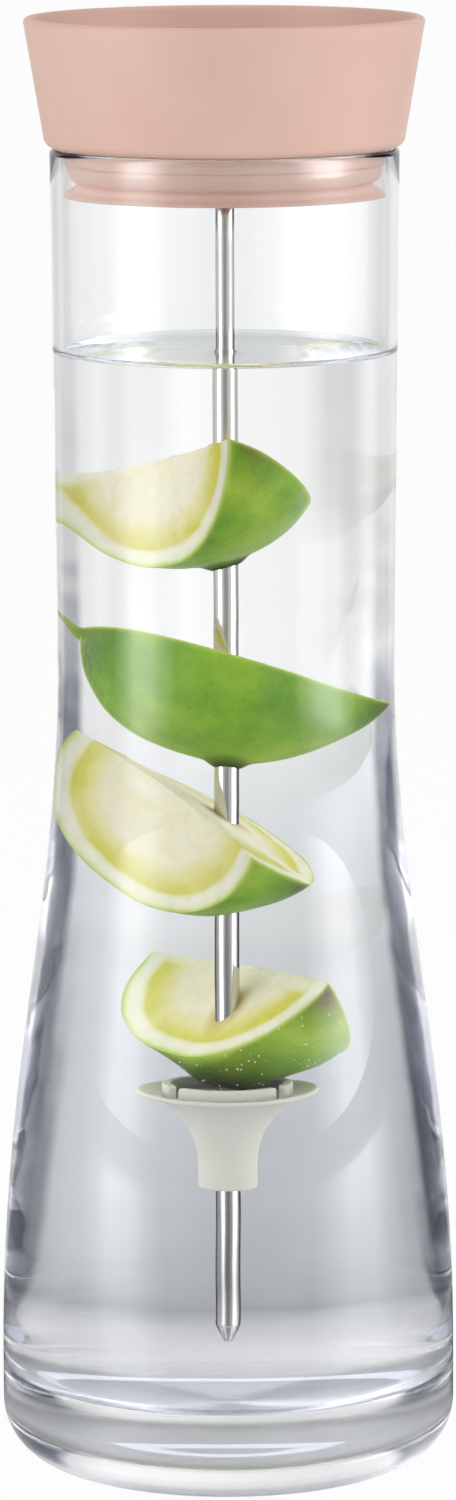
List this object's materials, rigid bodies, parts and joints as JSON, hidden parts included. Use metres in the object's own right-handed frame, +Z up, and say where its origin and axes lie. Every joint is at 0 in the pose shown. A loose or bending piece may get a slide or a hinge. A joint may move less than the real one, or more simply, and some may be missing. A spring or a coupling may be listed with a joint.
{
  "type": "fruit infuser pitcher",
  "caption": "Waisted glass carafe with a flared silicone pouring lid, a steel fruit skewer under it, a sliding fruit stopper and lime wedges.",
  "frame": {"origin": "centre of the foot, on the surface that the pitcher stands on", "axes": "+Z up along the axis of the carafe, -Y towards the pouring side of the lid"},
  "size_m": [0.096, 0.096, 0.306],
  "materials": {
    "clear_glass": "clear and polished",
    "pink_silicone": "matte",
    "pink_plastic": "satin",
    "flap_steel": "brushed",
    "pin_steel": "turned",
    "clear_silicone": "satin",
    "skewer_steel": "polished",
    "grey_silicone": "matte",
    "lime": "waxy rind and wet flesh"
  },
  "bodies": {
    "carafe": {"glass_carafe": "clear_glass"},
    "lid": {"pouring_collar": "pink_silicone", "neck_seal": "pink_silicone", "lid_core": "pink_plastic", "flap_gasket": "clear_silicone", "flap_hinge_pin": "pin_steel", "fruit_skewer": "skewer_steel", "lime_wedge_1": "lime", "lime_wedge_2": "lime", "lime_wedge_3": "lime", "lime_wedge_4": "lime"},
    "flap": {"pour_flap": "flap_steel"},
    "stopper": {"fruit_stopper": "grey_silicone"}
  },
  "joints": [
    {"name": "lid_lift", "type": "slide", "parent": "carafe", "child": "lid", "axis": [0, 0, 1], "range_m": [0, 0.3]},
    {"name": "flap_swing", "type": "hinge", "parent": "lid", "child": "flap", "pos_m": [0, -0.005, 0.2857], "axis": [-1, 0, 0], "range_deg": [0, 60]},
    {"name": "stopper_slide", "type": "slide", "parent": "lid", "child": "stopper", "axis": [0, 0, -1], "range_m": [0, 0.036]}
  ]
}
